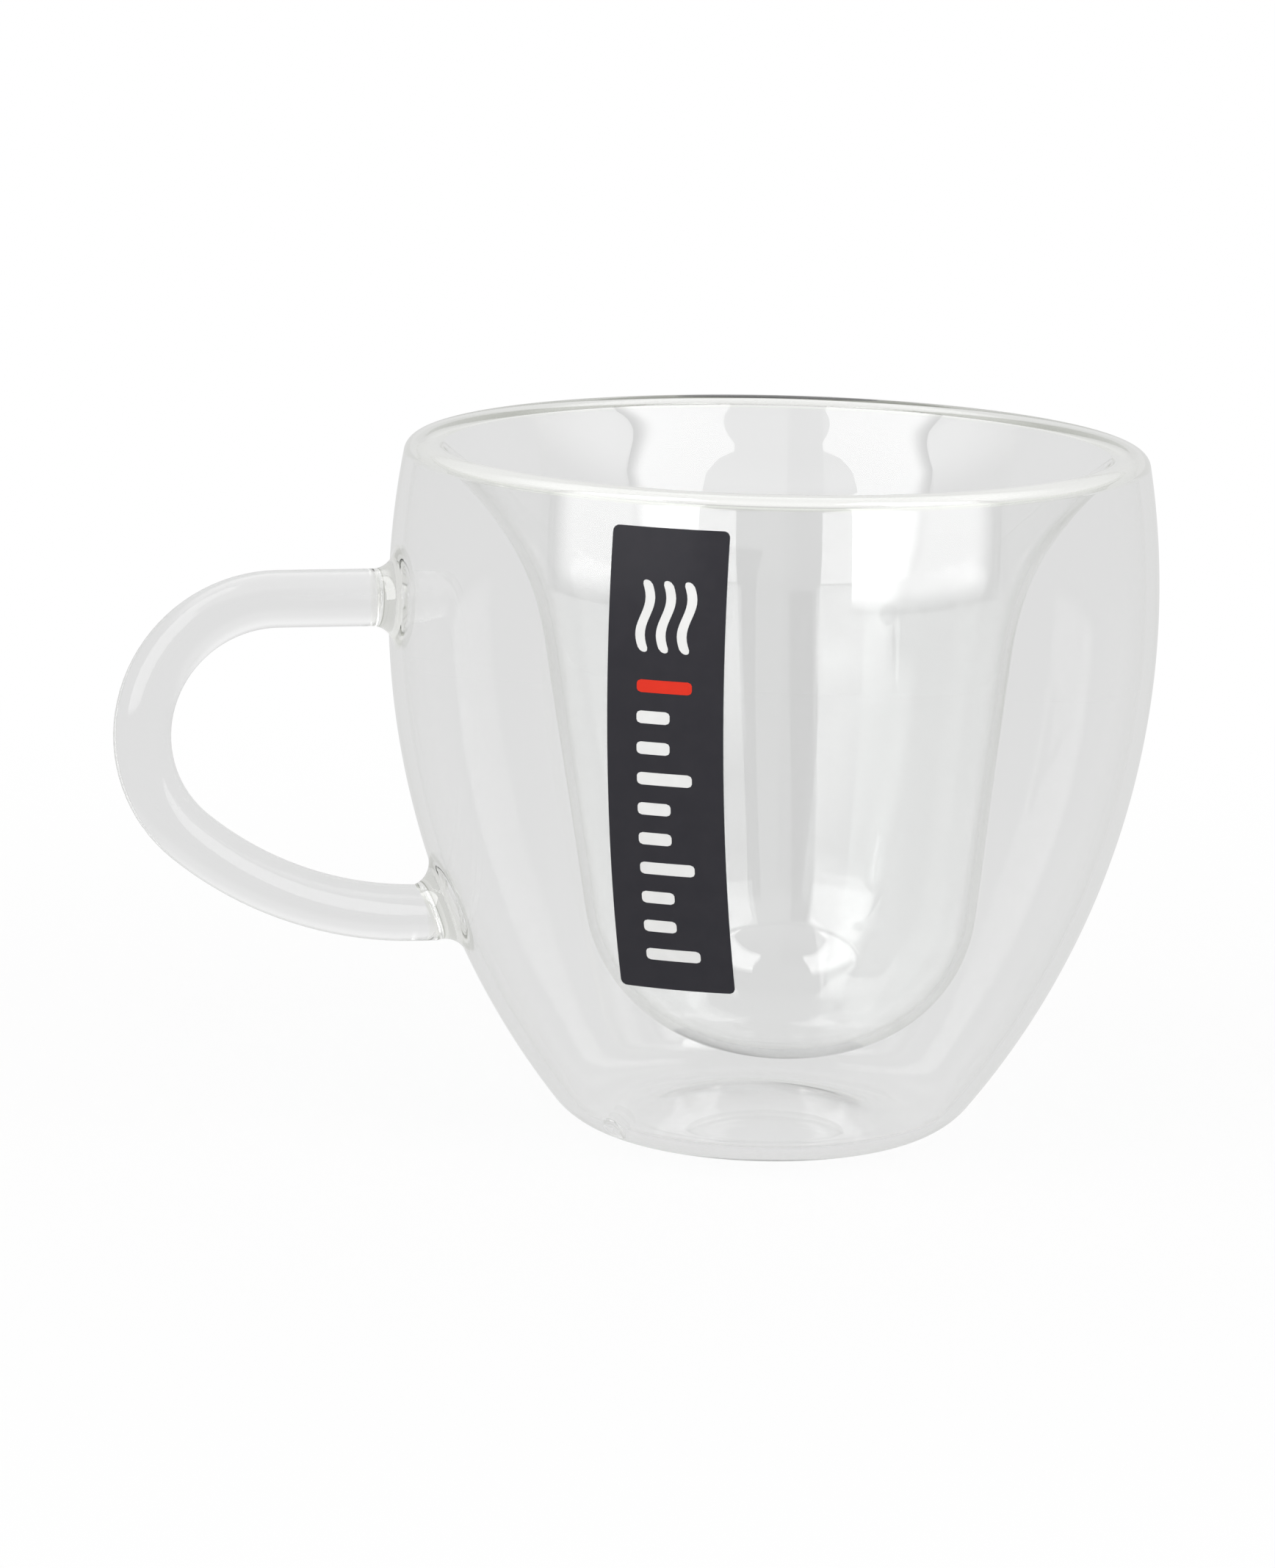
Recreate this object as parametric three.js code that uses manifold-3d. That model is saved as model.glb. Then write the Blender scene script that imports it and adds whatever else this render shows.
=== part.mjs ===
// A double-wall glass mug. A blown outer wall and a blown inner cup meet at a fused rim, with still air
// between them. A bent glass rod is the handle, fused to the outer wall by a flared weld at each end.
// A small melted plug seals the vent in the heel, and a narrow film label runs down the front.
// Sizes are in millimetres and degrees, +Z is up, and the handle points along -X.

import * as THREE from 'three';
import { mergeVertices } from 'three/addons/utils/BufferGeometryUtils.js';
import Module from 'manifold-3d';

// Outer wall, on its outer face
const MUG_HEIGHT = 86;
const BELLY_RADIUS = 47.5;
const BELLY_HEIGHT = 66;
const BELLY_CURVE = 102;
const HEEL_CURVE = 10;
const FOOT_INNER_RADIUS = 16;
const PUNT_HEIGHT = 1.8;
const OUTER_WALL = 1.6;

// Inner cup, on the face that the air space hides
const INNER_FLOOR_HEIGHT = 9.2;
const INNER_BASE_RADIUS = 24.4;
const INNER_BASE_HEIGHT = 27;
const INNER_WAIST_RADIUS = 28.8;
const INNER_WAIST_HEIGHT = 60;
const INNER_LIP_ANGLE = 40;
const INNER_WALL = 1.1;
const INNER_LEAN = 2.5;

// Rim, which bridges the two walls, measured inward from the outer wall's outer face
const RIM_SPAN = 4;
const RIM_CREST_INSET = 2.3;
const RIM_DEPTH = 1.6;

// Handle, a rod bent in one upright plane, with its top run measured down from the rim
const ROD_RADIUS = 3.5;
const HANDLE_REACH = 81.8;
const HANDLE_TOP_DROP = 18.5;
const HANDLE_LOW_HEIGHT = 28;
const HANDLE_BEND = 16.5;
const HANDLE_UNDERCUT = 50;
const HANDLE_TAIL = 10;

// Welds between the rod and the outer wall
const WELD_LENGTH = 2.8;
const WELD_FILLET = 3;
const FUSE_GAP = 0.3;

// Sealed vent in the heel, with angles from straight down and from the handle
const VENT_TILT = 54;
const VENT_FROM_HANDLE = 35;
const VENT_STEM_RADIUS = 1;
const VENT_HEAD_RADIUS = 1.7;
const VENT_HEAD_HEIGHT = 0.8;
const VENT_CLEARANCE = 0.2;

// Film label, with its angle from the handle and its top measured down from the rim
const LABEL_FROM_HANDLE = 61;
const LABEL_WIDTH = 14;
const LABEL_LOW_HEIGHT = 25.7;
const LABEL_TOP_DROP = 4;
const LABEL_CORNER = 0.7;
const LABEL_FILM = 0.2;
const LABEL_CLEARANCE = 0.1;

// Shape of the free curves, as shares of the run that each one covers
const FLOOR_PULL = 0.615;
const CORNER_PULL = 0.53;
const FLARE_START_PULL = 0.6;
const FLARE_END_PULL = 0.47;
const RIM_PULL = 0.55;

// Fineness of the facets
const TURN_SEGMENTS = 44;
const SMALL_SEGMENTS = 20;
const BELLY_STEPS = 10;
const SMALL_STEPS = 5;
const CURVE_STEPS = 8;
const ROD_STEPS = 40;
const MERGE_DISTANCE = 1e-4;

const wasm = await Module();
wasm.setup();

const radians = THREE.MathUtils.degToRad;

// Points along an arc in the profile plane, x outward and y up.
function arcPoints(x, y, radius, start, end, steps) {
  return Array.from({ length: steps + 1 }, (_, i) => {
    const angle = start + ((end - start) * i) / steps;
    return new THREE.Vector2(x + radius * Math.cos(angle), y + radius * Math.sin(angle));
  });
}

// Points along a curve that leaves one end, and reaches the other, in the given directions.
function easedPoints(from, fromWay, to, toWay, steps) {
  const leave = from.clone().add(fromWay);
  const arrive = to.clone().sub(toWay);
  return new THREE.CubicBezierCurve(from, leave, arrive, to).getPoints(steps);
}

// Mean direction of a line at one of its points.
function wayAt(line, i) {
  const before = line[Math.max(i - 1, 0)];
  const after = line[Math.min(i + 1, line.length - 1)];
  const arriving = line[i].clone().sub(before).normalize();
  return after.clone().sub(line[i]).normalize().add(arriving).normalize();
}

// A line moved to its right, or to its left where the distance is negative. Points on the axis stay on it.
function offsetLine(line, distance) {
  return line.map((point, i) => {
    const way = wayAt(line, i);
    const moved = new THREE.Vector2(point.x + way.y * distance, point.y - way.x * distance);
    moved.x = point.x === 0 ? 0 : moved.x;
    return moved;
  });
}

// Centre and radius of the belly and heel arcs, and the angle at which one runs into the other.
const belly = new THREE.Vector2(BELLY_RADIUS - BELLY_CURVE, BELLY_HEIGHT);
const heelRun = Math.sqrt((BELLY_CURVE - HEEL_CURVE) ** 2 - (BELLY_HEIGHT - HEEL_CURVE) ** 2);
const heel = new THREE.Vector2(belly.x + heelRun, HEEL_CURVE);
const heelAngle = Math.atan2(heel.y - belly.y, heel.x - belly.x);

// Where the rim sits on the outer wall, and the heights that follow the rim.
const rimSeatHeight = MUG_HEIGHT - RIM_DEPTH;
const rimSeatRadius = belly.x + Math.sqrt(BELLY_CURVE ** 2 - (rimSeatHeight - belly.y) ** 2);
const handleTopHeight = MUG_HEIGHT - HANDLE_TOP_DROP;
const labelTopHeight = MUG_HEIGHT - LABEL_TOP_DROP;

// Outer face of the outer wall above the heel.
function bellyLine() {
  const seatAngle = Math.asin((rimSeatHeight - belly.y) / BELLY_CURVE);
  const widest = 0;
  return [
    ...arcPoints(belly.x, belly.y, BELLY_CURVE, heelAngle, widest, BELLY_STEPS),
    ...arcPoints(belly.x, belly.y, BELLY_CURVE, widest, seatAngle, SMALL_STEPS).slice(1),
  ];
}

// Outer face of the outer wall, from the middle of the punt to the rim's seat.
function outerLine() {
  const puntCurve = (FOOT_INNER_RADIUS ** 2 + PUNT_HEIGHT ** 2) / (2 * PUNT_HEIGHT);
  const puntAngle = Math.asin(FOOT_INNER_RADIUS / puntCurve);
  const upright = Math.PI / 2;
  const puntCentre = PUNT_HEIGHT - puntCurve;
  const punt = arcPoints(0, puntCentre, puntCurve, upright, upright - puntAngle, SMALL_STEPS);
  punt[0].x = 0;
  return [
    ...punt,
    ...arcPoints(heel.x, heel.y, HEEL_CURVE, -Math.PI / 2, heelAngle, SMALL_STEPS),
    ...bellyLine().slice(1),
  ];
}

// Hidden face of the inner cup, from the middle of its floor to the rim's seat.
function innerLine() {
  const floor = new THREE.Vector2(0, INNER_FLOOR_HEIGHT);
  const base = new THREE.Vector2(INNER_BASE_RADIUS, INNER_BASE_HEIGHT);
  const waist = new THREE.Vector2(INNER_WAIST_RADIUS, INNER_WAIST_HEIGHT);
  const lip = new THREE.Vector2(rimSeatRadius - RIM_SPAN, rimSeatHeight);
  const flat = new THREE.Vector2(FLOOR_PULL * base.x, 0);
  const slope = waist.clone().sub(base).normalize();
  const rise = slope.clone().multiplyScalar(CORNER_PULL * (base.y - floor.y));
  const flareStart = slope.clone().multiplyScalar(FLARE_START_PULL * (lip.y - waist.y));
  const lipAngle = radians(INNER_LIP_ANGLE);
  const lipWay = new THREE.Vector2(Math.sin(lipAngle), Math.cos(lipAngle));
  const flareEnd = lipWay.multiplyScalar(FLARE_END_PULL * (lip.x - waist.x));
  return [
    ...easedPoints(floor, flat, base, rise, CURVE_STEPS),
    ...easedPoints(waist, flareStart, lip, flareEnd, CURVE_STEPS),
  ];
}

// A turned geometry about the Z axis, from a profile that closes on itself or on the axis.
function turned(profile, segments = TURN_SEGMENTS) {
  return new THREE.LatheGeometry(profile, segments).rotateX(Math.PI / 2);
}

// The same geometry moved so that its own Z axis leaves a point in a direction.
function aimed(geometry, point, direction) {
  const up = new THREE.Vector3(0, 0, 1);
  geometry.applyQuaternion(new THREE.Quaternion().setFromUnitVectors(up, direction.clone().normalize()));
  return geometry.translate(point.x, point.y, point.z);
}

// A point or direction of the profile plane, turned about the axis away from the handle, towards the front.
function around(flat, fromHandle = 0) {
  const angle = radians(fromHandle);
  return new THREE.Vector3(-flat.x * Math.cos(angle), -flat.x * Math.sin(angle), flat.y);
}

// A closed solid, ready to join or cut, from a closed geometry.
function toSolid(geometry) {
  const bare = geometry.clone();
  bare.deleteAttribute('normal');
  bare.deleteAttribute('uv');
  const merged = mergeVertices(bare, MERGE_DISTANCE);
  const corners = merged.getIndex().array;
  const triVerts = [];
  for (let i = 0; i < corners.length; i += 3) {
    const triangle = [corners[i], corners[i + 1], corners[i + 2]];
    if (new Set(triangle).size === 3) {
      triVerts.push(...triangle);
    }
  }
  const vertProperties = merged.getAttribute('position').array;
  return new wasm.Manifold(
    new wasm.Mesh({ numProp: 3, vertProperties, triVerts: Uint32Array.from(triVerts) }),
  );
}

function toGeometry(solid) {
  const mesh = solid.getMesh();
  const geometry = new THREE.BufferGeometry();
  geometry.setAttribute('position', new THREE.BufferAttribute(mesh.vertProperties, 3));
  geometry.setIndex(new THREE.BufferAttribute(mesh.triVerts, 1));
  geometry.computeVertexNormals();
  return geometry;
}

// The whole body of the outer wall without its hollow or punt, grown all round by a distance.
function bodySolid(distance) {
  const line = offsetLine(bellyLine(), distance);
  const top = new THREE.Vector2(0, line.at(-1).y);
  const bottom = new THREE.Vector2(0, line[0].y);
  return toSolid(turned([bottom, ...line, top]));
}

// Where the vent leaves the heel, and the way it points.
function ventPlace() {
  const tilt = radians(VENT_TILT);
  const way = new THREE.Vector2(Math.sin(tilt), -Math.cos(tilt));
  const point = heel.clone().addScaledVector(way, HEEL_CURVE);
  return [around(point, VENT_FROM_HANDLE), around(way, VENT_FROM_HANDLE)];
}

// Outer wall: one blown shell with a domed punt, a flat foot ring and a drilled vent.
function outerWall() {
  const line = outerLine();
  const shell = toSolid(turned([...line, ...offsetLine(line, -OUTER_WALL).reverse()]));
  const drillLength = 4 * OUTER_WALL;
  const drill = new THREE.CylinderGeometry(
    VENT_STEM_RADIUS + VENT_CLEARANCE,
    VENT_STEM_RADIUS + VENT_CLEARANCE,
    drillLength,
    SMALL_SEGMENTS,
  ).rotateX(Math.PI / 2);
  return toGeometry(shell.subtract(toSolid(aimed(drill, ...ventPlace()))));
}

// Inner cup: a tapered tumbler with a round floor and a flared lip, set a little off upright.
function innerWall() {
  const line = innerLine();
  const geometry = turned([...line, ...offsetLine(line, -INNER_WALL).reverse()]);
  const positions = geometry.getAttribute('position');
  const fullDrop = rimSeatHeight - INNER_FLOOR_HEIGHT;
  for (let i = 0; i < positions.count; i += 1) {
    const drop = Math.max(rimSeatHeight - positions.getZ(i), 0);
    positions.setX(i, positions.getX(i) + (INNER_LEAN * drop) / fullDrop);
  }
  return geometry;
}

// Rim: a rounded crest over the two walls, seated on their cut ends.
function rimBead() {
  const outer = outerLine();
  const inner = innerLine();
  const outerWay = wayAt(outer, outer.length - 1);
  const innerWay = wayAt(inner, inner.length - 1);
  const outerTop = outer.at(-1);
  const outerHidden = offsetLine(outer, -OUTER_WALL).at(-1);
  const innerHidden = inner.at(-1);
  const innerTop = offsetLine(inner, -INNER_WALL).at(-1);
  const crest = new THREE.Vector2(rimSeatRadius - RIM_CREST_INSET, MUG_HEIGHT);
  const outerPull = RIM_PULL * (crest.y - outerTop.y);
  const crestPull = RIM_PULL * (outerTop.x - crest.x);
  const lipPull = RIM_PULL * (crest.y - innerTop.y);
  const lipCrestPull = RIM_PULL * (crest.x - innerTop.x);
  const hollowPull = RIM_PULL * (outerTop.y - innerHidden.y + INNER_WALL);
  const inward = new THREE.Vector2(-1, 0);
  const overOuter = easedPoints(
    outerTop,
    outerWay.clone().multiplyScalar(outerPull),
    crest,
    inward.clone().multiplyScalar(crestPull),
    SMALL_STEPS,
  );
  const overInner = easedPoints(
    crest,
    inward.clone().multiplyScalar(lipCrestPull),
    innerTop,
    innerWay.clone().multiplyScalar(-lipPull),
    SMALL_STEPS,
  );
  const underside = easedPoints(
    innerHidden,
    innerWay.clone().multiplyScalar(hollowPull),
    outerHidden,
    outerWay.clone().multiplyScalar(-hollowPull),
    SMALL_STEPS,
  );
  return turned([...overOuter, ...overInner.slice(1), ...underside, outerTop]);
}

// Middle line of the rod: straight out, round the bend, back under in a wider sweep and straight in.
function rodPath() {
  const bendX = HANDLE_REACH - ROD_RADIUS - HANDLE_BEND;
  const bendY = handleTopHeight - HANDLE_BEND;
  const undercut = radians(HANDLE_UNDERCUT);
  const sweepStart = new THREE.Vector2(
    bendX + HANDLE_BEND * Math.cos(undercut),
    bendY - HANDLE_BEND * Math.sin(undercut),
  );
  const sweep = (sweepStart.y - HANDLE_LOW_HEIGHT) / (1 - Math.sin(undercut));
  const sweepX = sweepStart.x - sweep * Math.cos(undercut);
  const sweepY = HANDLE_LOW_HEIGHT + sweep;
  const tailX = Math.min(sweepX, weldFoot(HANDLE_LOW_HEIGHT).x) - HANDLE_TAIL;
  const path = new THREE.Path();
  path.moveTo(weldFoot(handleTopHeight).x - HANDLE_TAIL, handleTopHeight);
  path.lineTo(bendX, handleTopHeight);
  path.absarc(bendX, bendY, HANDLE_BEND, Math.PI / 2, -undercut, true);
  path.absarc(sweepX, sweepY, sweep, -undercut, -Math.PI / 2, true);
  path.lineTo(tailX, HANDLE_LOW_HEIGHT);
  const points = path.getSpacedPoints(ROD_STEPS).map((point) => around(point));
  return new THREE.CatmullRomCurve3(points);
}

// Handle: the bent rod, cut off where its welds begin.
function handle() {
  const section = new THREE.Shape().absarc(0, 0, ROD_RADIUS, 0, 2 * Math.PI, false);
  const rod = new THREE.ExtrudeGeometry(section, {
    steps: ROD_STEPS,
    curveSegments: SMALL_SEGMENTS / 2,
    bevelEnabled: false,
    extrudePath: rodPath(),
  });
  return toGeometry(toSolid(rod).subtract(bodySolid(WELD_LENGTH)));
}

// Where the rod's middle line crosses the far end of a weld, in the profile plane.
function weldFoot(height) {
  const reach = BELLY_CURVE + WELD_LENGTH;
  return new THREE.Vector2(belly.x + Math.sqrt(reach ** 2 - (height - belly.y) ** 2), height);
}

// Weld: a collar that flares from the rod to the wall, square to the wall and shaped to it at both ends.
function handleWeld(height) {
  const foot = weldFoot(height);
  const way = foot.clone().sub(belly).normalize();
  const rodEnd = ROD_RADIUS / way.x;
  const flare = arcPoints(
    rodEnd + WELD_FILLET,
    WELD_FILLET - WELD_LENGTH,
    WELD_FILLET,
    -Math.PI / 2,
    -Math.PI,
    CURVE_STEPS,
  );
  const collar = turned(
    [
      new THREE.Vector2(0, -2 * WELD_LENGTH),
      new THREE.Vector2(rodEnd + WELD_FILLET, -2 * WELD_LENGTH),
      ...flare,
      new THREE.Vector2(rodEnd, WELD_LENGTH),
      new THREE.Vector2(0, WELD_LENGTH),
    ],
    SMALL_SEGMENTS,
  );
  const solid = toSolid(aimed(collar, around(foot), around(way)));
  const outside = bodySolid(WELD_LENGTH - FUSE_GAP);
  return toGeometry(solid.intersect(outside).subtract(bodySolid(FUSE_GAP)));
}

// Vent seal: a melted plug with a low domed head outside the heel.
function ventSeal() {
  const flatness = VENT_HEAD_HEIGHT / VENT_HEAD_RADIUS;
  const dome = arcPoints(0, 0, VENT_HEAD_RADIUS, 0, Math.PI / 2, SMALL_STEPS);
  dome.forEach((point) => point.set(point.x, VENT_CLEARANCE + point.y * flatness));
  dome.at(-1).x = 0;
  const profile = [
    new THREE.Vector2(0, -OUTER_WALL),
    new THREE.Vector2(VENT_STEM_RADIUS, -OUTER_WALL),
    new THREE.Vector2(VENT_STEM_RADIUS, VENT_CLEARANCE),
    ...dome,
  ];
  return aimed(turned(profile, SMALL_SEGMENTS), ...ventPlace());
}

// Upright rectangle with round corners, centred on x.
function roundedRectangle(width, low, high, corner) {
  const side = width / 2 - corner;
  const shape = new THREE.Shape();
  shape.absarc(side, low + corner, corner, -Math.PI / 2, 0, false);
  shape.absarc(side, high - corner, corner, 0, Math.PI / 2, false);
  shape.absarc(-side, high - corner, corner, Math.PI / 2, Math.PI, false);
  shape.absarc(-side, low + corner, corner, Math.PI, (3 * Math.PI) / 2, false);
  return shape;
}

// Label: a thin film that follows the outer wall, cut to a narrow upright panel.
function label() {
  const back = offsetLine(bellyLine(), LABEL_CLEARANCE);
  const face = offsetLine(bellyLine(), LABEL_CLEARANCE + LABEL_FILM);
  const sleeve = toSolid(turned([...face, ...back.reverse(), face[0]]));
  const outline = roundedRectangle(LABEL_WIDTH, LABEL_LOW_HEIGHT, labelTopHeight, LABEL_CORNER);
  const panel = new THREE.ExtrudeGeometry(outline, {
    depth: 2 * BELLY_RADIUS,
    curveSegments: SMALL_STEPS,
    bevelEnabled: false,
  });
  const facing = around(new THREE.Vector2(1, 0), LABEL_FROM_HANDLE);
  panel.rotateX(Math.PI / 2).rotateZ(Math.atan2(facing.x, -facing.y));
  return toGeometry(sleeve.intersect(toSolid(panel)));
}

function clearGlass() {
  return new THREE.MeshStandardMaterial({
    color: 0xdde2e0,
    roughness: 0.05,
    metalness: 0,
    transparent: true,
    opacity: 0.35,
  });
}

function blackFilm() {
  return new THREE.MeshStandardMaterial({ color: 0x26262a, roughness: 0.2, metalness: 0 });
}

function piece(name, geometry, material) {
  const mesh = new THREE.Mesh(geometry, material);
  mesh.name = name;
  return mesh;
}

const mug = new THREE.Group();
mug.add(
  piece('outer_wall', outerWall(), clearGlass()),
  piece('inner_wall', innerWall(), clearGlass()),
  piece('rim_bead', rimBead(), clearGlass()),
  piece('vent_seal', ventSeal(), clearGlass()),
  piece('handle', handle(), clearGlass()),
  piece('upper_handle_weld', handleWeld(handleTopHeight), clearGlass()),
  piece('lower_handle_weld', handleWeld(HANDLE_LOW_HEIGHT), clearGlass()),
  piece('label', label(), blackFilm()),
);

// The origin lies under the middle of the whole outline, handle included.
mug.position.x = (HANDLE_REACH - BELLY_RADIUS) / 2;

export default mug;
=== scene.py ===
"""Looks of a double-wall glass mug: two blown walls, a fused rim, a bent rod handle and a label."""

import logging
import math
from dataclasses import dataclass
from enum import Enum

import bmesh
import bpy
from mathutils import Matrix, Vector, noise
from mathutils.geometry import interpolate_bezier


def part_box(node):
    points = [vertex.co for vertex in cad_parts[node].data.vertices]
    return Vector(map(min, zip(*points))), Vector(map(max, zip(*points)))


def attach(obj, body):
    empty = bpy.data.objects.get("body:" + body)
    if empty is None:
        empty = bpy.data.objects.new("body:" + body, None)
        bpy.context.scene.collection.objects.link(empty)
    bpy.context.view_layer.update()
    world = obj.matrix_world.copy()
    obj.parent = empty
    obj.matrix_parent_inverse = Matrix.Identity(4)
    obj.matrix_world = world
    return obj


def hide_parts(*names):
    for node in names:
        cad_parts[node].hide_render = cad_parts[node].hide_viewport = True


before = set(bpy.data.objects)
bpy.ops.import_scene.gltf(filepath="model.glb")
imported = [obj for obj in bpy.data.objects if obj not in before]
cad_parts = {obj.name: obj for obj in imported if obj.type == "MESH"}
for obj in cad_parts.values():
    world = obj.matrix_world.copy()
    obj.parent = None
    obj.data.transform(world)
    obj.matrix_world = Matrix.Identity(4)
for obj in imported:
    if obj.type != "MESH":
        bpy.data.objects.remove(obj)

log = logging.getLogger("mug")
MM = 0.001
BODY = "root"
PHOTO_WIDTH = 1736

Colour = tuple[float, float, float, float]


def arc_points(centre: Vector, radius: float, start: float, end: float, steps: int) -> list[Vector]:
    """Points along an arc of the profile plane.

    Args:
        centre: Middle of the arc, as radius and height.
        radius: Radius of the arc.
        start: Angle of the first point in radians, from straight outward.
        end: Angle of the last point.
        steps: Number of chords.

    Returns:
        The points in order, both ends included.
    """
    angles = [start + (end - start) * i / steps for i in range(steps + 1)]
    return [centre + radius * Vector((math.cos(a), math.sin(a))) for a in angles]


def eased_points(start: Vector, leave: Vector, end: Vector, arrive: Vector, steps: int) -> list[Vector]:
    """Points along a curve that leaves one end and reaches the other in the given ways.

    Args:
        start: First point.
        leave: How far and which way the curve is pulled as it leaves.
        end: Last point.
        arrive: How far and which way the curve is pulled as it arrives.
        steps: Number of chords.

    Returns:
        The points in order, both ends included.
    """
    return interpolate_bezier(start, start + leave, end - arrive, end, steps + 1)


def way_at(line: list[Vector], i: int) -> Vector:
    """Mean direction of a line at one of its points.

    Args:
        line: Points of the line.
        i: Index of the point.

    Returns:
        A unit vector.
    """
    before = line[max(i - 1, 0)]
    after = line[min(i + 1, len(line) - 1)]
    return ((after - line[i]).normalized() + (line[i] - before).normalized()).normalized()


def offset_line(line: list[Vector], distance: float) -> list[Vector]:
    """A line moved to its right, or to its left where the distance is negative.

    Args:
        line: Points of the line. Those on the axis stay on it.
        distance: How far each point moves along the line's normal.

    Returns:
        The moved points.
    """
    moved = []
    for i, point in enumerate(line):
        way = way_at(line, i)
        across = point.x + way.y * distance if point.x > 0 else 0.0
        moved.append(Vector((across, point.y - way.x * distance)))
    return moved


class Fused(Enum):
    """Material slots of a glass piece: its own surface, and the faces melted into a neighbour."""

    SURFACE = 0
    JOINT = 1


@dataclass(frozen=True)
class MugShape:
    """Sizes of the blown glass in metres. Profile points are a radius and a height."""

    axis_x: float
    height: float
    belly_radius: float
    belly_height: float = 66 * MM
    belly_curve: float = 102 * MM
    heel_curve: float = 10 * MM
    foot_inner_radius: float = 16 * MM
    punt_height: float = 1.8 * MM
    punt_pull: float = 10.5 * MM
    foot_pull: float = 3.4 * MM
    outer_wall: float = 1.6 * MM
    inner_floor_height: float = 9.2 * MM
    inner_base_radius: float = 24.4 * MM
    inner_base_height: float = 27 * MM
    inner_waist_radius: float = 28.8 * MM
    inner_waist_height: float = 60 * MM
    inner_lip_angle: float = math.radians(40)
    inner_wall: float = 1.1 * MM
    inner_lean: float = 2.5 * MM
    rim_span: float = 4 * MM
    rim_crest_inset: float = 2.3 * MM
    rim_depth: float = 1.6 * MM
    floor_pull: float = 0.615
    corner_pull: float = 0.53
    flare_start_pull: float = 0.6
    flare_end_pull: float = 0.47
    rim_pull: float = 0.55
    punt_steps: int = 18
    heel_steps: int = 14
    belly_steps: int = 56
    bowl_steps: int = 28
    straight_steps: int = 12
    flare_steps: int = 28
    rim_steps: int = 14

    @classmethod
    def from_frame(cls) -> "MugShape":
        """Takes the axis, the height and the girth from the frame.

        Returns:
            The shape.
        """
        low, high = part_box("outer_wall")
        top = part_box("rim_bead")[1][2]
        return cls(axis_x=(low[0] + high[0]) / 2, height=top, belly_radius=(high[0] - low[0]) / 2)

    @property
    def belly(self) -> Vector:
        """Centre of the belly's arc."""
        return Vector((self.belly_radius - self.belly_curve, self.belly_height))

    @property
    def heel(self) -> Vector:
        """Centre of the heel's arc, which runs smoothly into the belly's."""
        run = math.sqrt(
            (self.belly_curve - self.heel_curve) ** 2 - (self.belly_height - self.heel_curve) ** 2
        )
        return Vector((self.belly.x + run, self.heel_curve))

    @property
    def seat_height(self) -> float:
        """Height at which the rim sits on the walls."""
        return self.height - self.rim_depth

    def wall_radius(self, height: float, lift: float = 0.0) -> float:
        """Radius of the outer face above the heel.

        Args:
            height: Height above the table.
            lift: Distance outward from the face.

        Returns:
            The radius at that height.
        """
        reach = self.belly_curve + lift
        return self.belly.x + math.sqrt(reach**2 - (height - self.belly.y) ** 2)

    def on_wall(self, from_handle: float, height: float, lift: float = 0.0) -> Vector:
        """A place on or over the outer face.

        Args:
            from_handle: Angle about the axis, from the handle towards the front, in radians.
            height: Height above the table.
            lift: Distance outward from the face.

        Returns:
            The place in the frame.
        """
        radius = self.wall_radius(height, lift)
        away = Vector((-math.cos(from_handle), -math.sin(from_handle), 0)) * radius
        return Vector((self.axis_x, 0, height)) + away

    def outer_line(self) -> list[Vector]:
        """Outer face of the outer wall.

        Returns:
            Its profile, from the middle of the punt to the rim's seat.
        """
        heel_angle = math.atan2(self.heel.y - self.belly.y, self.heel.x - self.belly.x)
        seat_angle = math.asin((self.seat_height - self.belly.y) / self.belly_curve)
        punt = eased_points(
            Vector((0, self.punt_height)),
            Vector((self.punt_pull, 0)),
            Vector((self.foot_inner_radius, 0)),
            Vector((self.foot_pull, 0)),
            self.punt_steps,
        )
        heel = arc_points(self.heel, self.heel_curve, -math.pi / 2, heel_angle, self.heel_steps)
        belly = arc_points(self.belly, self.belly_curve, heel_angle, seat_angle, self.belly_steps)
        return punt + heel + belly[1:]

    def inner_line(self) -> list[Vector]:
        """Hidden face of the inner cup.

        Returns:
            Its profile, from the middle of the floor to the rim's seat.
        """
        floor = Vector((0, self.inner_floor_height))
        base = Vector((self.inner_base_radius, self.inner_base_height))
        waist = Vector((self.inner_waist_radius, self.inner_waist_height))
        lip = Vector((self.wall_radius(self.seat_height) - self.rim_span, self.seat_height))
        slope = (waist - base).normalized()
        lip_way = Vector((math.sin(self.inner_lip_angle), math.cos(self.inner_lip_angle)))
        bowl = eased_points(
            floor,
            Vector((self.floor_pull * base.x, 0)),
            base,
            slope * self.corner_pull * (base.y - floor.y),
            self.bowl_steps,
        )
        flare = eased_points(
            waist,
            slope * self.flare_start_pull * (lip.y - waist.y),
            lip,
            lip_way * self.flare_end_pull * (lip.x - waist.x),
            self.flare_steps,
        )
        count = self.straight_steps
        straight = [base.lerp(waist, i / count) for i in range(1, count)]
        return bowl + straight + flare

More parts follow.
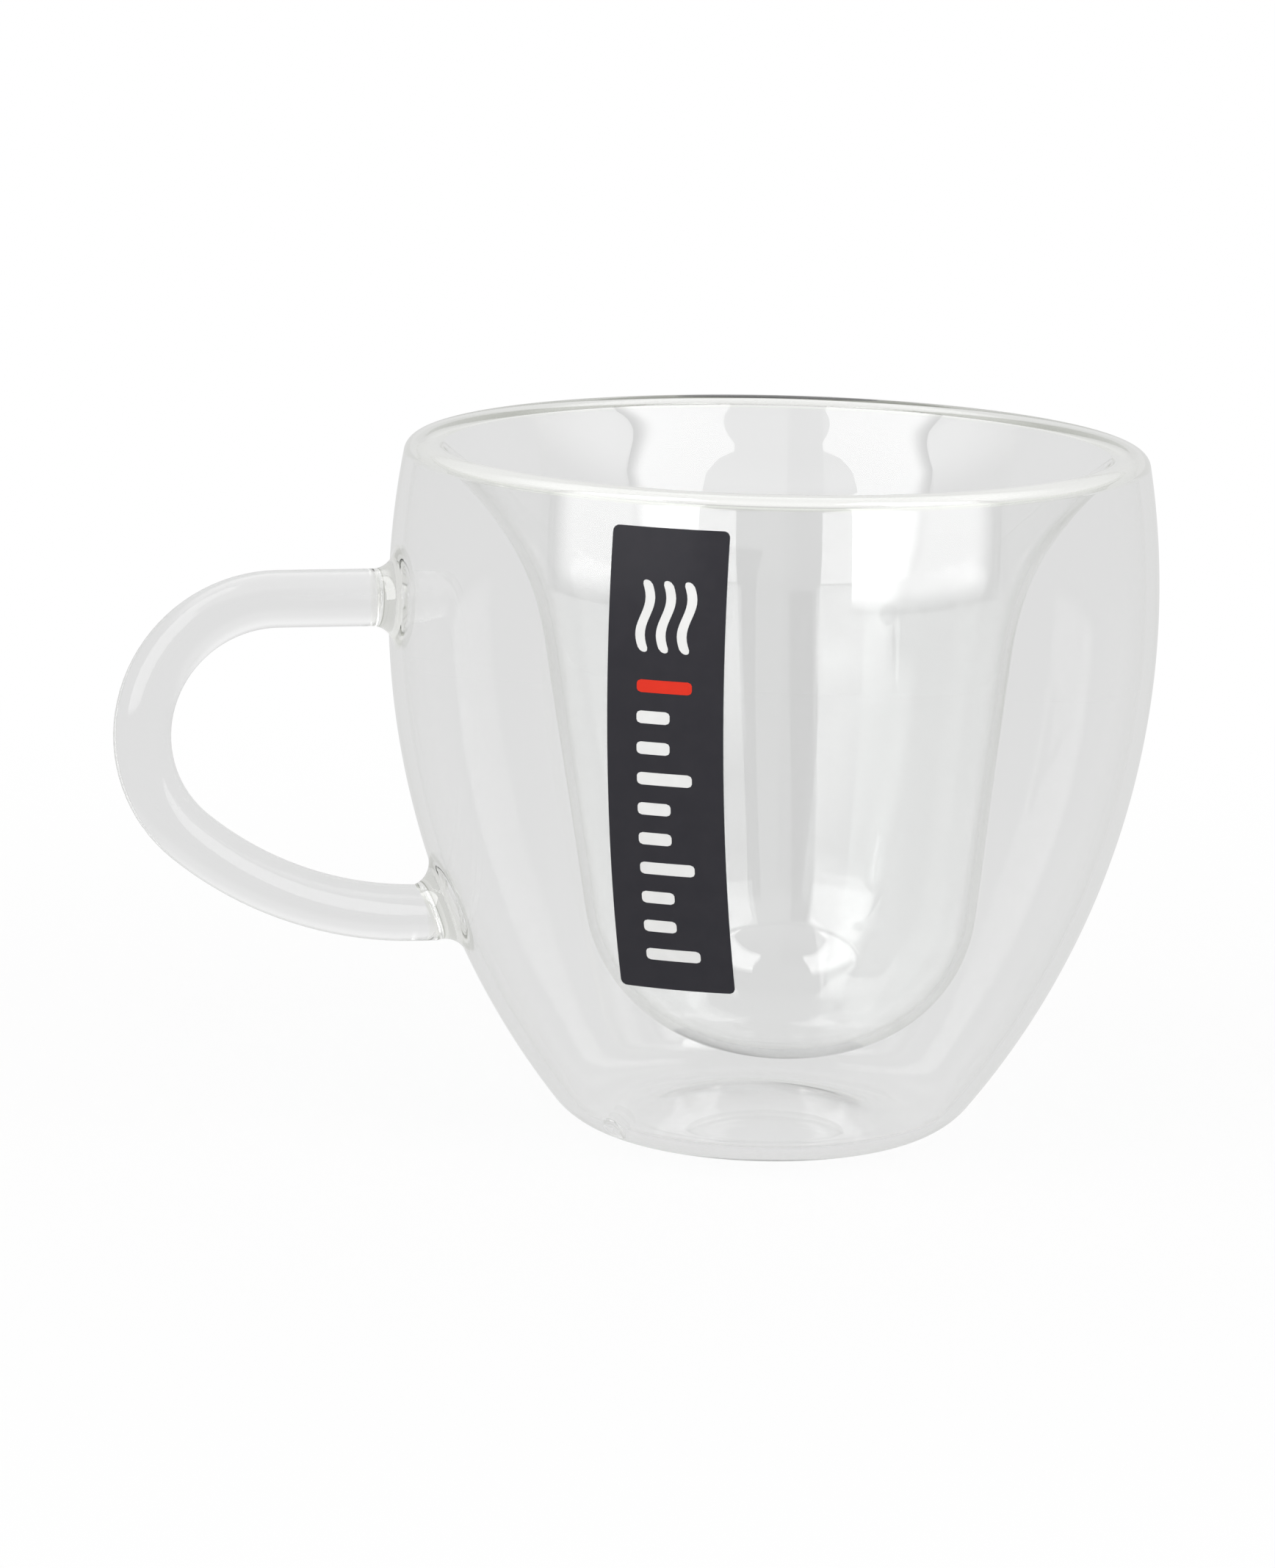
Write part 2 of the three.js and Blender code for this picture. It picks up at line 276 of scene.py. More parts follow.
    def rim_lines(self) -> tuple[list[Vector], list[Vector]]:
        """Faces of the rim between the two walls' seats.

        Returns:
            The crest from the outer wall to the inner cup, and the underside back again.
        """
        outer = self.outer_line()
        inner = self.inner_line()
        outer_way = way_at(outer, len(outer) - 1)
        inner_way = way_at(inner, len(inner) - 1)
        outer_top = outer[-1]
        inner_top = offset_line(inner, -self.inner_wall)[-1]
        crest = Vector((outer_top.x - self.rim_crest_inset, self.height))
        inward = Vector((-1, 0))
        over_outer = eased_points(
            outer_top,
            outer_way * self.rim_pull * (crest.y - outer_top.y),
            crest,
            inward * self.rim_pull * (outer_top.x - crest.x),
            self.rim_steps,
        )
        over_inner = eased_points(
            crest,
            inward * self.rim_pull * (crest.x - inner_top.x),
            inner_top,
            -inner_way * self.rim_pull * (crest.y - inner_top.y),
            self.rim_steps,
        )
        hollow = self.rim_pull * self.inner_wall
        under = eased_points(
            inner[-1],
            inner_way * hollow,
            offset_line(outer, -self.outer_wall)[-1],
            -outer_way * hollow,
            self.rim_steps,
        )
        return over_outer + over_inner[1:], under


class RangeCurve(Enum):
    """How a value runs from one end of a range to the other."""

    STRAIGHT = "LINEAR"
    SOFT = "SMOOTHSTEP"


class NodeSheet:
    """A node tree with short calls for its nodes and links."""

    def __init__(self, tree: bpy.types.NodeTree) -> None:
        """Keeps the tree and clears it.

        Args:
            tree: Tree of a material, a world or a node group.
        """
        self.tree = tree
        self.tree.nodes.clear()

    @classmethod
    def of_material(cls, name: str) -> tuple[bpy.types.Material, "NodeSheet"]:
        """Makes a material.

        Args:
            name: Name of the material.

        Returns:
            The material and its empty sheet.
        """
        material = bpy.data.materials.new(name)
        material.use_nodes = True
        return material, cls(material.node_tree)

    def add(
        self, kind: str, values: dict[str, object] | None = None, **settings: object
    ) -> bpy.types.Node:
        """Adds a node.

        Args:
            kind: Type name of the node.
            values: Values to set on its inputs.
            settings: Properties to set on it.

        Returns:
            The node.
        """
        node = self.tree.nodes.new(kind)
        for name, value in settings.items():
            setattr(node, name, value)
        for name, value in (values or {}).items():
            node.inputs[name].default_value = value
        return node

    def link(self, source: bpy.types.NodeSocket, target: bpy.types.NodeSocket) -> None:
        """Joins an output to an input."""
        self.tree.links.new(source, target)

    def math(self, operation: str, *values: object) -> bpy.types.NodeSocket:
        """Adds a Math node.

        Args:
            operation: Name of the operation.
            values: Sockets or numbers for its inputs, in order.

        Returns:
            The result.
        """
        node = self.add("ShaderNodeMath", operation=operation)
        self._feed(node, values)
        return node.outputs["Value"]

    def vector_math(self, operation: str, *values: object) -> bpy.types.Node:
        """Adds a Vector Math node.

        Args:
            operation: Name of the operation.
            values: Sockets or vectors for its inputs, in order.

        Returns:
            The node.
        """
        node = self.add("ShaderNodeVectorMath", operation=operation)
        self._feed(node, values)
        return node

    def clouds(
        self, place: bpy.types.NodeSocket, scale: float, detail: float, roughness: float = 0.5
    ) -> bpy.types.NodeSocket:
        """Adds a Noise Texture node.

        Args:
            place: Where the noise is read.
            scale: Its scale.
            detail: Number of finer layers.
            roughness: Weight of the finer layers.

        Returns:
            The noise, about 0 to 1.
        """
        values = {"Scale": scale, "Detail": detail, "Roughness": roughness}
        node = self.add("ShaderNodeTexNoise", values, noise_dimensions="3D")
        self.link(place, node.inputs["Vector"])
        return node.outputs["Fac"]

    def ranged(
        self,
        value: bpy.types.NodeSocket,
        source: tuple[float, float],
        target: tuple[float, float] = (0.0, 1.0),
        curve: RangeCurve = RangeCurve.SOFT,
    ) -> bpy.types.NodeSocket:
        """Adds a Map Range node.

        Args:
            value: The value to map.
            source: Range that it comes from.
            target: Range that it goes to.
            curve: How it runs between the ends.

        Returns:
            The mapped value.
        """
        names = ("From Min", "From Max", "To Min", "To Max")
        ends = dict(zip(names, source + target))
        node = self.add("ShaderNodeMapRange", ends, interpolation_type=curve.value)
        self.link(value, node.inputs["Value"])
        return node.outputs["Result"]

    def blend(self, share: bpy.types.NodeSocket, low: Colour, high: Colour) -> bpy.types.NodeSocket:
        """Adds a Mix node for colours.

        Args:
            share: Share of the second colour.
            low: First colour.
            high: Second colour.

        Returns:
            The mixed colour.
        """
        node = self.add("ShaderNodeMix", data_type="RGBA")
        self.link(share, node.inputs["Factor"])
        sockets = [socket for socket in node.inputs if socket.type == "RGBA"]
        for socket, colour in zip(sockets, (low, high)):
            socket.default_value = colour
        return next(socket for socket in node.outputs if socket.type == "RGBA")

    def mix(
        self,
        share: bpy.types.NodeSocket,
        first: bpy.types.NodeSocket,
        second: bpy.types.NodeSocket,
    ) -> bpy.types.NodeSocket:
        """Adds a Mix Shader node.

        Args:
            share: Share of the second shader.
            first: First shader.
            second: Second shader.

        Returns:
            The mixed shader.
        """
        node = self.add("ShaderNodeMixShader")
        for source, target in zip((share, first, second), node.inputs):
            self.link(source, target)
        return node.outputs[0]

    def surface(self, shader: bpy.types.NodeSocket) -> None:
        """Leads a shader to the material's output."""
        self.link(shader, self.add("ShaderNodeOutputMaterial").inputs["Surface"])

    def _feed(self, node: bpy.types.Node, values: tuple[object, ...]) -> None:
        """Sets or links the inputs of a node.

        Args:
            node: The node.
            values: Sockets or values for its inputs, in order.
        """
        for socket, value in zip(node.inputs, values):
            if isinstance(value, bpy.types.NodeSocket):
                self.link(value, socket)
            else:
                socket.default_value = value


class SharedGroups:
    """Node groups that several finishes use, each made once."""

    RIPPLE_STRETCH = (1.0, 1.0, 0.45)
    RIPPLE_SCALE = 55.0
    RIPPLE_DETAIL = 1.0
    RIPPLE_ROUGHNESS = 0.4
    WIPE_SCALE = 90.0
    WIPE_DETAIL = 5.0
    WIPE_RANGE = (0.45, 0.8)
    WIPE_ROUGHNESS = 0.06

    @staticmethod
    def _new(name: str, inputs: dict[str, str], outputs: dict[str, str]) -> NodeSheet:
        """Makes a group with its sockets.

        Args:
            name: Name of the group.
            inputs: Socket names and types going in.
            outputs: Socket names and types coming out.

        Returns:
            The sheet of the new group.
        """
        tree = bpy.data.node_groups.new(name, "ShaderNodeTree")
        for direction, sockets in (("INPUT", inputs), ("OUTPUT", outputs)):
            for label, kind in sockets.items():
                tree.interface.new_socket(label, in_out=direction, socket_type=kind)
        return NodeSheet(tree)

    @classmethod
    def blown_surface(cls) -> bpy.types.NodeTree:
        """Slow ripples left by blowing, and the faint film that wiping leaves.

        Returns:
            A group from a place to a height and a roughness.
        """
        name = "blown_surface"
        if name in bpy.data.node_groups:
            return bpy.data.node_groups[name]
        sheet = cls._new(
            name,
            {"Place": "NodeSocketVector"},
            {"Height": "NodeSocketFloat", "Roughness": "NodeSocketFloat"},
        )
        place = sheet.add("NodeGroupInput").outputs["Place"]
        stretched = sheet.vector_math("MULTIPLY", place, cls.RIPPLE_STRETCH).outputs[0]
        ripple = sheet.clouds(stretched, cls.RIPPLE_SCALE, cls.RIPPLE_DETAIL, cls.RIPPLE_ROUGHNESS)
        wiped = sheet.clouds(place, cls.WIPE_SCALE, cls.WIPE_DETAIL)
        film = sheet.ranged(wiped, cls.WIPE_RANGE, (0.0, cls.WIPE_ROUGHNESS), RangeCurve.STRAIGHT)
        out = sheet.add("NodeGroupOutput")
        sheet.link(ripple, out.inputs["Height"])
        sheet.link(film, out.inputs["Roughness"])
        return sheet.tree

    @classmethod
    def blown_waves(
        cls, sheet: NodeSheet, place: bpy.types.NodeSocket, strength: float, depth: float
    ) -> tuple[bpy.types.NodeSocket, bpy.types.NodeSocket]:
        """Places the blown surface in a material.

        Args:
            sheet: Sheet of the material.
            place: Object coordinates.
            strength: Strength of the ripples.
            depth: Their depth.

        Returns:
            The rippled normal, and the roughness of the film on it.
        """
        waves = sheet.add("ShaderNodeGroup", node_tree=cls.blown_surface())
        sheet.link(place, waves.inputs["Place"])
        bump = sheet.add("ShaderNodeBump", {"Strength": strength, "Distance": depth})
        sheet.link(waves.outputs["Height"], bump.inputs["Height"])
        return bump.outputs["Normal"], waves.outputs["Roughness"]

    @classmethod
    def weld_spot(cls) -> bpy.types.NodeTree:
        """An oval on the handle side of a wall.

        Returns:
            A group from a place, the oval's centre and its stretch to a mask, 1 within the oval.
        """
        name = "weld_spot"
        if name in bpy.data.node_groups:
            return bpy.data.node_groups[name]
        sheet = cls._new(
            name,
            {"Place": "NodeSocketVector", "Centre": "NodeSocketVector", "Stretch": "NodeSocketVector"},
            {"Mask": "NodeSocketFloat"},
        )
        given = sheet.add("NodeGroupInput")
        away = sheet.vector_math("SUBTRACT", given.outputs["Place"], given.outputs["Centre"])
        scaled = sheet.vector_math("MULTIPLY", away.outputs[0], given.outputs["Stretch"])
        far = sheet.vector_math("LENGTH", scaled.outputs[0]).outputs["Value"]
        parts = sheet.add("ShaderNodeSeparateXYZ")
        sheet.link(away.outputs[0], parts.inputs[0])
        near_side = sheet.math("LESS_THAN", parts.outputs["X"], 0.0)
        within = sheet.math("LESS_THAN", far, 1.0)
        out = sheet.add("NodeGroupOutput")
        sheet.link(sheet.math("MULTIPLY", near_side, within), out.inputs["Mask"])
        return sheet.tree


@dataclass(frozen=True)
class WeldSpot:
    """An oval of the outer face that is melted into a weld."""

    centre: Vector
    half_width: float
    half_height: float


@dataclass(frozen=True)
class GlassFinish:
    """Clear blown glass, a little grey-green in depth, whose trapped light comes out under a painted
    shade.
    """

    name: str
    tint: Colour = (0.980, 0.981, 0.980, 1.0)
    shade: Colour = (0.90, 0.91, 0.905, 1.0)
    # Painted shade: light mirrored inside the glass more than most_mirrors times passes out dimmed by
    # this colour, which darkens lines at the rim and the welds.
    trapped_shade: Colour = (0.86, 0.865, 0.845, 1.0)
    # Darker painted shade for the trapped light on faces marked as punt, which draws dark arcs round
    # the punt.
    deep: Colour | None = None
    index: float = 1.47
    sheen: Colour = (1.0, 1.0, 1.0, 1.0)
    ripple: float = 0.25
    ripple_depth: float = 0.5 * MM
    haze: float = 0.0
    most_mirrors: float = 2.5
    most_turns: float = 9.5
    weld_spots: tuple[WeldSpot, ...] = ()

    def make(self) -> bpy.types.Material:
        """Builds the material.

        Returns:
            Glass with a light shadow, which lets trapped light out dimmed by a painted shade, and is
            clear under a weld.
        """
        material, sheet = NodeSheet.of_material(self.name)
        place = sheet.add("ShaderNodeTexCoord").outputs["Object"]
        normal, film = SharedGroups.blown_waves(sheet, place, self.ripple, self.ripple_depth)
        glass = sheet.add(
            "ShaderNodeBsdfPrincipled",
            {
                "Base Color": self.tint,
                "IOR": self.index,
                "Specular Tint": self.sheen,
                "Transmission Weight": 1.0,
            },
        )
        sheet.link(sheet.math("ADD", film, self.haze), glass.inputs["Roughness"])
        sheet.link(normal, glass.inputs["Normal"])
        if self.weld_spots:
            sheet.link(self._kept_skin(sheet, place), glass.inputs["Alpha"])
        path = sheet.add("ShaderNodeLightPath")
        mirrored = sheet.math("GREATER_THAN", path.outputs["Glossy Depth"], self.most_mirrors)
        turned = sheet.math("GREATER_THAN", path.outputs["Ray Depth"], self.most_turns)
        let_by = sheet.math("MAXIMUM", turned, path.outputs["Is Shadow Ray"])
        # Painted shade on the trapped light, darker still on the punt.
        trapped_shade = self._trapped_shade_colour(sheet) if self.deep else self.trapped_shade
        shell = self._let_through(sheet, glass.outputs["BSDF"], mirrored, trapped_shade)
        sheet.surface(self._let_through(sheet, shell, let_by, self.shade))
        return material

    @staticmethod
    def _let_through(
        sheet: NodeSheet,
        shell: bpy.types.NodeSocket,
        share: bpy.types.NodeSocket,
        colour: bpy.types.NodeSocket | Colour,
    ) -> bpy.types.NodeSocket:
        """Lets some of the rays pass straight through the glass.

        Args:
            sheet: Sheet of the material.
            shell: Shader of the glass.
            share: 1 for the rays that pass and 0 for the others.
            colour: Colour that they take on.

        Returns:
            The shader with those rays let through.
        """
        clear = sheet.add("ShaderNodeBsdfTransparent")
        if isinstance(colour, bpy.types.NodeSocket):
            sheet.link(colour, clear.inputs["Color"])
        else:
            clear.inputs["Color"].default_value = colour
        return sheet.mix(share, shell, clear.outputs["BSDF"])

    def _trapped_shade_colour(self, sheet: NodeSheet) -> bpy.types.NodeSocket:
        """Painted shade: the dim colour of the light that gets out after it was trapped.

        Args:
            sheet: Sheet of the material.

        Returns:
            The darker painted shade on the punt's faces, and the plain painted shade elsewhere.
        """
        deep = sheet.add("ShaderNodeAttribute", attribute_name="deep").outputs["Fac"]
        return sheet.blend(deep, self.trapped_shade, self.deep)

    def _kept_skin(self, sheet: NodeSheet, place: bpy.types.NodeSocket) -> bpy.types.NodeSocket:
        """The part of the outer face that no weld covers.

        Args:
            sheet: Sheet of the material.
            place: Object coordinates.

        Returns:
            1 on bare glass and 0 under a weld.
        """
        skin = sheet.add("ShaderNodeAttribute", attribute_name="skin").outputs["Fac"]
        covered: bpy.types.NodeSocket | float = 0.0
        for spot in self.weld_spots:
            oval = sheet.add("ShaderNodeGroup", node_tree=SharedGroups.weld_spot())
            sheet.link(place, oval.inputs["Place"])
            oval.inputs["Centre"].default_value = spot.centre
            oval.inputs["Stretch"].default_value = (0.0, 1 / spot.half_width, 1 / spot.half_height)
            covered = sheet.math("MAXIMUM", oval.outputs["Mask"], covered)
        return sheet.math("SUBTRACT", 1.0, sheet.math("MULTIPLY", skin, covered))


@dataclass(frozen=True)
class JointFinish:
    """The face between two pieces of glass that are melted together, which can't be seen."""

    name: str = "melted_joint"

    def make(self) -> bpy.types.Material:
        """Builds the material, or finds it where it is made already.

        Returns:
            A clear material.
        """
        if self.name in bpy.data.materials:
            return bpy.data.materials[self.name]
        material, sheet = NodeSheet.of_material(self.name)
        clear = sheet.add("ShaderNodeBsdfPrincipled", {"Alpha": 0.0})
        sheet.surface(clear.outputs["BSDF"])
        return material


@dataclass(frozen=True)
class FilmFinish:
    """Printed film: a plain colour with a soft gloss, faint mottle and the glass's slow waves."""

    name: str
    colour: Colour
    mottle: Colour
    roughness: float = 0.16
    roughness_spread: float = 0.10
    gloss: float = 0.03
    grain_scale: float = 420.0
    grain_detail: float = 4.0
    wave_strength: float = 0.3
    wave_depth: float = 0.15 * MM

    def make(self) -> bpy.types.Material:
        """Builds the material.

        Returns:
            The film or the ink.
        """
        material, sheet = NodeSheet.of_material(self.name)
        place = sheet.add("ShaderNodeTexCoord").outputs["Object"]
        grain = sheet.clouds(place, self.grain_scale, self.grain_detail)
        colour = sheet.blend(grain, self.colour, self.mottle)
        rough = (self.roughness, self.roughness + self.roughness_spread)
        roughness = sheet.ranged(grain, (0.0, 1.0), rough, RangeCurve.STRAIGHT)
        normal, _ = SharedGroups.blown_waves(sheet, place, self.wave_strength, self.wave_depth)
        film = sheet.add("ShaderNodeBsdfPrincipled", {"Specular IOR Level": self.gloss})
        sheet.link(colour, film.inputs["Base Color"])
        sheet.link(roughness, film.inputs["Roughness"])
        sheet.link(normal, film.inputs["Normal"])
        sheet.surface(film.outputs["BSDF"])
        return material


class Workshop:
    """Calls that turn a bmesh into a finished piece of the mug."""

    SHARP_ANGLE = math.radians(35)
    MERGE_DISTANCE = 0.002 * MM

    @classmethod
    def spun(cls, profile: list[Vector], steps: int, closed: bool) -> bmesh.types.BMesh:
        """Spins a profile about the Z axis.

        Args:
            profile: Points as radius and height.
            steps: Facets round the turn.
            closed: Whether the last point joins the first.

        Returns:
            A bmesh whose int layer "station" numbers each vertex by its profile point.
        """
        bm = bmesh.new()
        station = bm.verts.layers.int.new("station")
        verts = [bm.verts.new((point.x, 0, point.y)) for point in profile]
        for i, vert in enumerate(verts):
            vert[station] = i
        ends = verts[1:] + verts[:1] if closed else verts[1:]
        edges = [bm.edges.new(pair) for pair in zip(verts, ends)]
        bmesh.ops.spin(
            bm,
            geom=verts + edges,
            cent=(0, 0, 0),
            axis=(0, 0, 1),
            angle=2 * math.pi,
            steps=steps,
            use_merge=True,
        )
        bmesh.ops.remove_doubles(bm, verts=bm.verts, dist=cls.MERGE_DISTANCE)
        return bm

    @classmethod
    def finish(cls, bm: bmesh.types.BMesh, name: str) -> bpy.types.Object:
        """Smooths a closed bmesh and puts it in the scene.

        Args:
            bm: The bmesh, which is freed.
            name: Name of the piece.

        Returns:
            The piece, at the origin.
        """
        bmesh.ops.recalc_face_normals(bm, faces=bm.faces)
        for face in bm.faces:
            face.smooth = True
        for edge in bm.edges:
            edge.smooth = edge.calc_face_angle(0.0) < cls.SHARP_ANGLE
        for layer in list(bm.verts.layers.int.values()):
            bm.verts.layers.int.remove(layer)
        return cls.place(bm, name)

    @staticmethod
    def place(bm: bmesh.types.BMesh, name: str) -> bpy.types.Object:
        """Puts a bmesh in the scene as it is.

        Args:
            bm: The bmesh, which is freed.
            name: Name of the object.

        Returns:
            The object, at the origin.
        """
        mesh = bpy.data.meshes.new(name)
        bm.to_mesh(mesh)
        bm.free()
        placed = bpy.data.objects.new(name, mesh)
        bpy.context.collection.objects.link(placed)
        return placed

    @staticmethod
    def seat(
        piece: bpy.types.Object,
        slot: str,
        finishes: tuple[GlassFinish | JointFinish | FilmFinish, ...],
        *nodes: str,
    ) -> None:
        """Dresses a piece and makes it ride with the mug, in place of some nodes.

        Args:
            piece: The piece.
            slot: Not used.
            finishes: Its finishes, in the order of its material slots.
            nodes: Nodes that it stands for.
        """
        for finish in finishes:
            piece.data.materials.append(finish.make())
        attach(piece, BODY)
        if nodes:
            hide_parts(*nodes)
        log.info("%s: %d faces", piece.name, len(piece.data.polygons))

    @staticmethod
    def segments_of(bm: bmesh.types.BMesh) -> dict[bmesh.types.BMFace, tuple[int, int]]:
        """Profile points that each face of a spun bmesh lies between.

        Args:
            bm: A bmesh from spun.

        Returns:
            The lowest and the highest number of each face's vertices.
        """
        station = bm.verts.layers.int["station"]
        spans = {}
        for face in bm.faces:
            numbers = [vert[station] for vert in face.verts]
            spans[face] = (min(numbers), max(numbers))
        return spans

    @staticmethod
    def cap(bm: bmesh.types.BMesh) -> None:
        """Closes the open ends of a tube with faces melted into its neighbours.

        Args:
            bm: The tube.
        """
        rims = [edge for edge in bm.edges if edge.is_boundary]
        for face in bmesh.ops.holes_fill(bm, edges=rims, sides=0)["faces"]:
            face.material_index = Fused.JOINT.value


@dataclass
class OuterWall:
    """The outer wall: a blown shell with a domed punt, whose top is melted into the rim."""

    shape: MugShape
    weld_spots: tuple[WeldSpot, ...]
    turn_steps: int = 176
    # Painted shade for the light trapped in the punt, which draws its dark arcs.
    punt_shade_colour: Colour = (0.25, 0.25, 0.25, 1.0)

    def build(self) -> bpy.types.Object:
        """Spins the shell and marks its outer skin, the punt's faces that get a darker painted shade,
        and its melted top.

        Returns:
            The bare piece.
        """
        outer = self.shape.outer_line()
        inner = offset_line(outer, -self.shape.outer_wall)
        bm = Workshop.spun(outer + inner[::-1], self.turn_steps, closed=False)
        skin = bm.faces.layers.float.new("skin")
        deep = bm.faces.layers.float.new("deep")
        last = len(outer) - 1
        for face, (low, high) in Workshop.segments_of(bm).items():
            face[skin] = 1.0 if high <= last else 0.0
            middle = face.calc_center_median().xy
            # Faces within the foot ring get the punt's painted shade.
            face[deep] = 1.0 if middle.length < self.shape.foot_inner_radius else 0.0
            joint = (low, high) == (last, last + 1)
            face.material_index = (Fused.JOINT if joint else Fused.SURFACE).value
        bmesh.ops.translate(bm, verts=bm.verts, vec=(self.shape.axis_x, 0, 0))
        return Workshop.finish(bm, "outer_wall_glass")

    def dress(self, piece: bpy.types.Object) -> None:
        """Gives the shell its glass, with a darker painted shade on the punt."""
        glass = GlassFinish("outer_wall_glass", deep=self.punt_shade_colour, weld_spots=self.weld_spots)
        Workshop.seat(piece, "outer_glass", (glass, JointFinish()), "outer_wall")


@dataclass
class InnerCup:
    """The inner cup: a tapered tumbler with a flared lip, hung a little off upright."""

    shape: MugShape
    turn_steps: int = 176
    wave_height: float = 0.12 * MM
    waves_per_metre: float = 45.0
    wave_growth: float = 4.0

    def build(self) -> bpy.types.Object:
        """Spins the cup, leans it and leaves the slow waves of the blowing in its wall.

        Returns:
            The bare piece.
        """
        outer = self.shape.inner_line()
        inner = offset_line(outer, -self.shape.inner_wall)
        bm = Workshop.spun(outer + inner[::-1], self.turn_steps, closed=False)
        last = len(outer) - 1
        for face, span in Workshop.segments_of(bm).items():
            face.material_index = (Fused.JOINT if span == (last, last + 1) else Fused.SURFACE).value
        seat = self.shape.seat_height
        full_drop = seat - self.shape.inner_floor_height
        for vert in bm.verts:
            drop = max(seat - vert.co.z, 0.0) / full_drop
            outward = Vector((vert.co.x, vert.co.y, 0))
            swell = noise.noise(vert.co * self.waves_per_metre) * self.wave_height
            vert.co += outward.normalized() * swell * min(drop * self.wave_growth, 1.0)
            vert.co.x += self.shape.inner_lean * drop
        bmesh.ops.translate(bm, verts=bm.verts, vec=(self.shape.axis_x, 0, 0))
        return Workshop.finish(bm, "inner_cup_glass")

    def dress(self, piece: bpy.types.Object) -> None:
        """Gives the cup its glass."""
        glass = GlassFinish("inner_cup_glass", ripple=0.35)
        Workshop.seat(piece, "inner_glass", (glass, JointFinish()), "inner_wall")


@dataclass
class RimBead:
    """The rim: a rounded crest melted onto both walls."""

    shape: MugShape
    turn_steps: int = 176

    def build(self) -> bpy.types.Object:
        """Spins the crest and the underside, with melted seats between them.

        Returns:
            The bare piece.
        """
        over, under = self.shape.rim_lines()
        bm = Workshop.spun(over + under, self.turn_steps, closed=True)
        seats = {(len(over) - 1, len(over)), (0, len(over) + len(under) - 1)}
        for face, span in Workshop.segments_of(bm).items():
            face.material_index = (Fused.JOINT if span in seats else Fused.SURFACE).value
        bmesh.ops.translate(bm, verts=bm.verts, vec=(self.shape.axis_x, 0, 0))
        return Workshop.finish(bm, "rim_glass")

    def dress(self, piece: bpy.types.Object) -> None:
        """Gives the rim its glass."""
        glass = GlassFinish("rim_glass", tint=(0.965, 0.972, 0.945, 1.0), ripple=0.15)
        Workshop.seat(piece, "rim_glass", (glass, JointFinish()), "rim_bead")


@dataclass
class RodHandle:
    """The handle: a glass rod bent round in one plane, from the upper weld to the lower one."""

    shape: MugShape
    rod_radius: float = 3.5 * MM
    reach: float = 81.8 * MM
    top_height: float = 67.5 * MM
    low_height: float = 28 * MM
    bend: float = 16.5 * MM
    undercut: float = math.radians(50)
    sweep_left: float = math.radians(3)
    weld_length: float = 2.8 * MM
    ring_steps: int = 56
    bend_steps: int = 36
    sweep_steps: int = 18

    def build(self) -> bpy.types.Object:
        """Spins a ring round the two bends and runs both ends up to their welds.

        Returns:
            The bare piece.
        """
        bm = bmesh.new()
        bend_reach = self.reach - self.rod_radius - self.bend
        bend_height = self.top_height - self.bend
        bend_centre = Vector((self.shape.axis_x - bend_reach, 0, bend_height))
        upright = Matrix.Translation(bend_centre + Vector((0, 0, self.bend)))
        ring = bmesh.ops.create_circle(
            bm,
            segments=self.ring_steps,
            radius=self.rod_radius,
            matrix=upright @ Matrix.Rotation(math.pi / 2, 4, "Y"),
        )["verts"]
        first = list(bm.edges)
        turn = math.pi / 2 + self.undercut
        last = self._spin(bm, ring + first, bend_centre, turn, self.bend_steps)
        below = bend_centre.z - self.bend * math.sin(self.undercut) - self.low_height
        sweep = below / (1 - math.sin(self.undercut))
        inward = Vector((math.cos(self.undercut), 0, math.sin(self.undercut)))
        start = bend_centre - inward * self.bend
        sweep_centre = start + inward * sweep
        rest = math.pi / 2 - self.undercut - self.sweep_left
        last = self._spin(bm, last, sweep_centre, rest, self.sweep_steps)
        low_rim = [item for item in last if isinstance(item, bmesh.types.BMEdge)]
        self._run_to_weld(bm, first, self.top_height)
        self._run_to_weld(bm, low_rim, self.low_height)
        Workshop.cap(bm)
        return Workshop.finish(bm, "rod_handle_glass")

    @staticmethod
    def _spin(bm: bmesh.types.BMesh, geom: list, centre: Vector, turn: float, steps: int) -> list:
        """Spins a ring down round a bend.

        Args:
            bm: The bmesh.
            geom: Vertices and edges of the ring.
            centre: Middle of the bend.
            turn: Angle of the bend in radians.
            steps: Rings along it.

        Returns:
            The vertices and edges of the last ring.
        """
        return bmesh.ops.spin(
            bm, geom=geom, cent=centre, axis=(0, 1, 0), angle=-turn, steps=steps, use_merge=False
        )["geom_last"]

    def _run_to_weld(self, bm: bmesh.types.BMesh, rim: list, height: float) -> None:
        """Runs an open end straight in, and cuts it to the outer wall's curve.

        Args:
            bm: The bmesh.
            rim: Edges of the open end.
            height: Height of the rod's middle line at the weld.
        """
        before = dict.fromkeys(vert for edge in rim for vert in edge.verts)
        middle = sum((vert.co for vert in before), Vector()) / len(before)
        made = bmesh.ops.extrude_edge_only(bm, edges=rim)["geom"]
        for vert in (item for item in made if isinstance(item, bmesh.types.BMVert)):
            level = height + (vert.co.z - middle.z)
            radius = self.shape.wall_radius(level, self.weld_length)
            vert.co.z = level
            vert.co.x = self.shape.axis_x - math.sqrt(radius**2 - vert.co.y**2)

    def dress(self, piece: bpy.types.Object) -> None:
        """Gives the rod its glass."""
        glass = GlassFinish("rod_glass", ripple=0.2, haze=0.10, sheen=(0.4, 0.4, 0.4, 1.0))
        Workshop.seat(piece, "rod_glass", (glass, JointFinish()), "handle")


